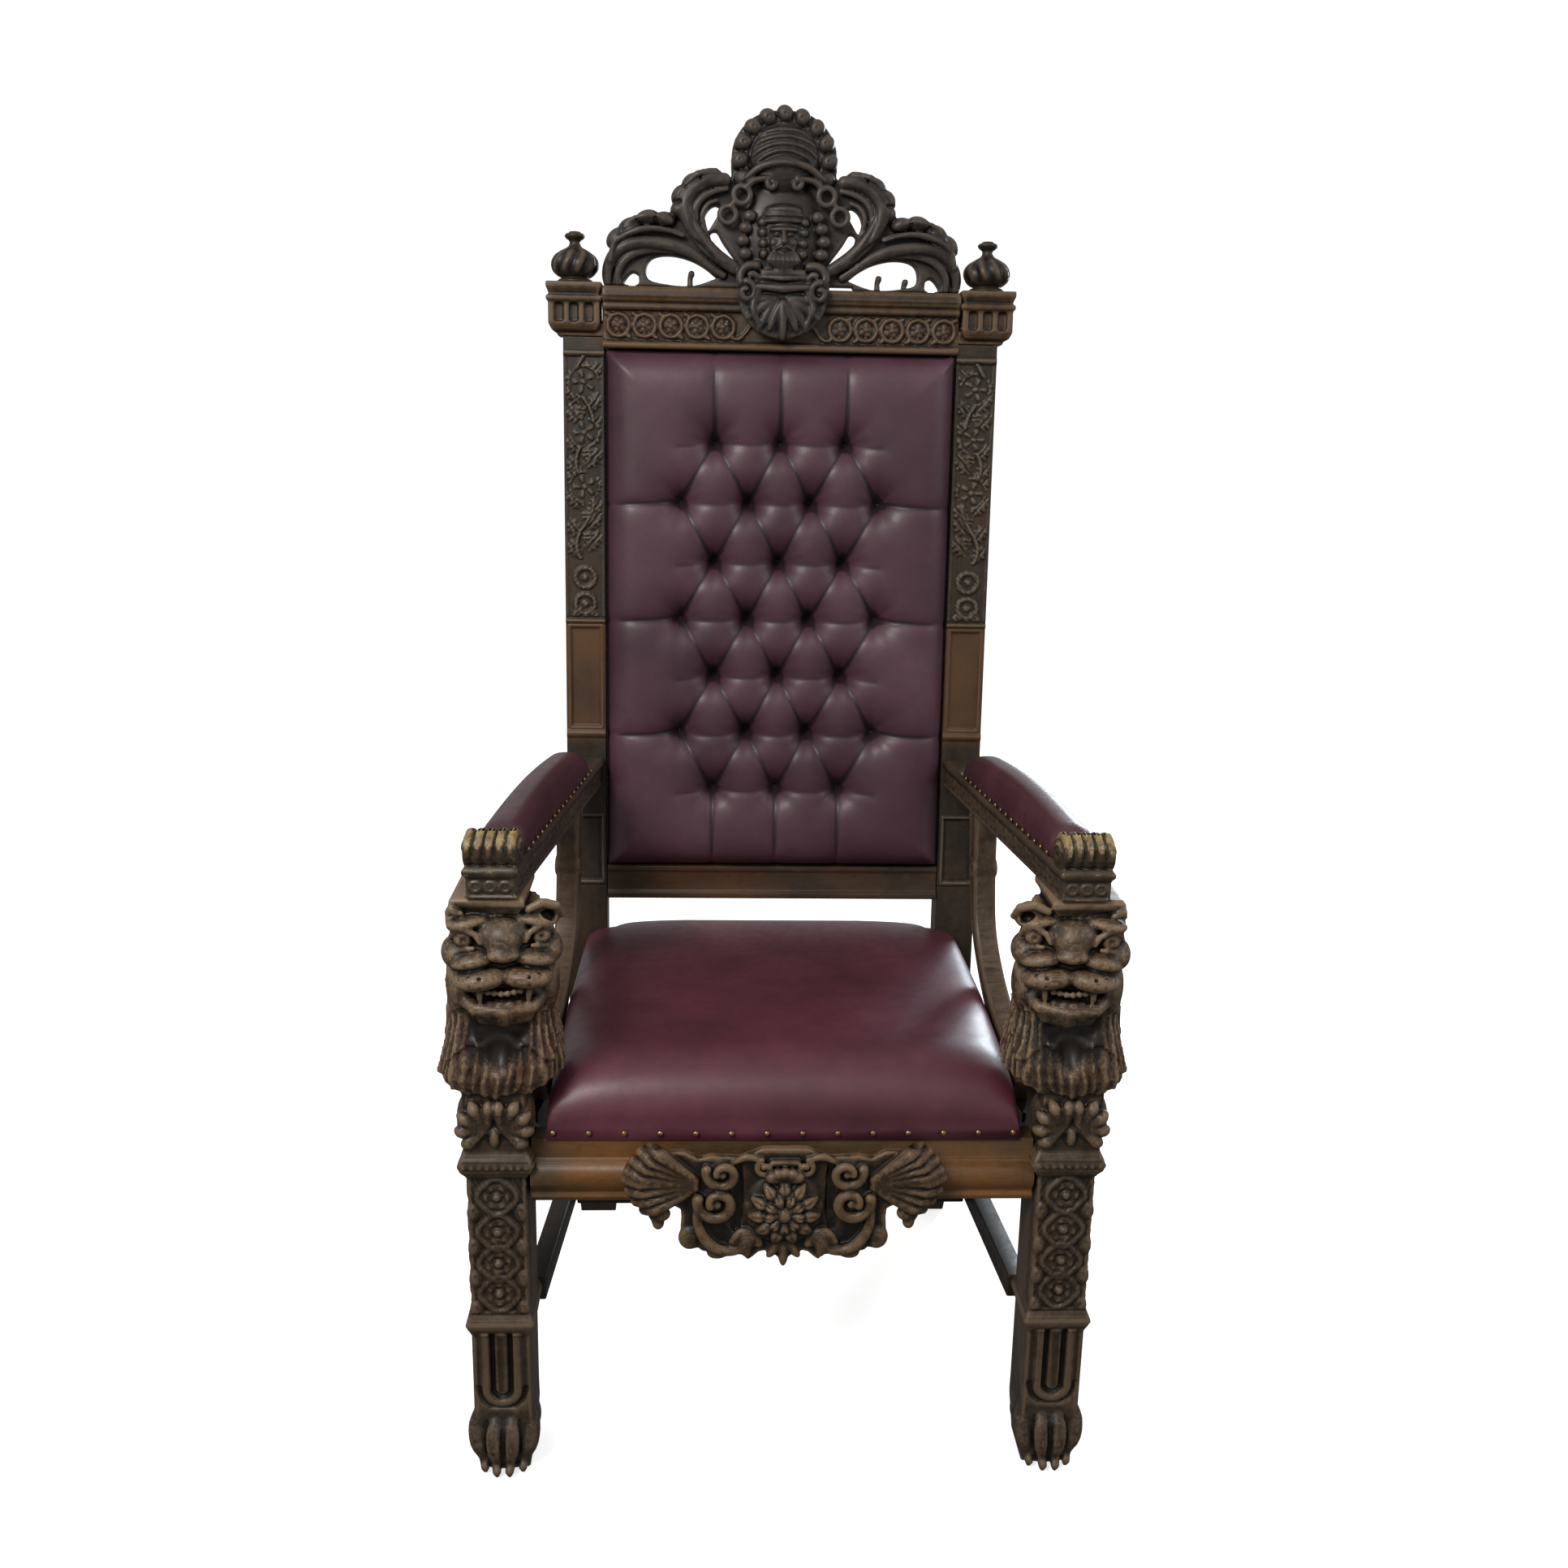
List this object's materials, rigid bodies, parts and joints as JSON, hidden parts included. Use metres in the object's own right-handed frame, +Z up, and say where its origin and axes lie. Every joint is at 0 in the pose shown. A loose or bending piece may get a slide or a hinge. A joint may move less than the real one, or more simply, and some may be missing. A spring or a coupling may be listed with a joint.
{
  "type": "carved lion throne",
  "caption": "High-backed carved wooden throne with lion front legs, a pierced crest and padded burgundy leather on the seat, back and arms.",
  "frame": {"origin": "middle of the bounding box, on the floor under the feet", "axes": "+Z up, +Y towards the back of the throne, +X towards the left hand of a sitter"},
  "size_m": [0.8858, 0.7836, 1.8301],
  "materials": {
    "dark_walnut": "waxed",
    "worn_walnut": "worn wax",
    "burgundy_leather": "glossy",
    "antique_brass": "aged",
    "worn_gilding": "worn gilt paint"
  },
  "bodies": {
    "root": {"apron": "dark_walnut", "arm_bracket_left": "worn_walnut", "arm_bracket_right": "worn_walnut", "arm_pad_left": "burgundy_leather", "arm_pad_right": "burgundy_leather", "arm_rail_left": "dark_walnut", "arm_rail_right": "dark_walnut", "back_pad": "burgundy_leather", "capital_left": "dark_walnut", "capital_right": "dark_walnut", "crest": "dark_walnut", "cross_stretcher": "dark_walnut", "finial_left": "dark_walnut", "finial_right": "dark_walnut", "front_leg_left": "worn_walnut", "front_leg_right": "worn_walnut", "front_rail": "worn_walnut", "lower_back_rail": "dark_walnut", "outside_back": "burgundy_leather", "rear_post_left": "dark_walnut", "rear_post_right": "dark_walnut", "rear_rail": "dark_walnut", "seat_pad": "burgundy_leather", "side_rail_left": "dark_walnut", "side_rail_right": "dark_walnut", "side_stretcher_left": "dark_walnut", "side_stretcher_right": "dark_walnut", "top_rail": "dark_walnut"}
  },
  "joints": []
}
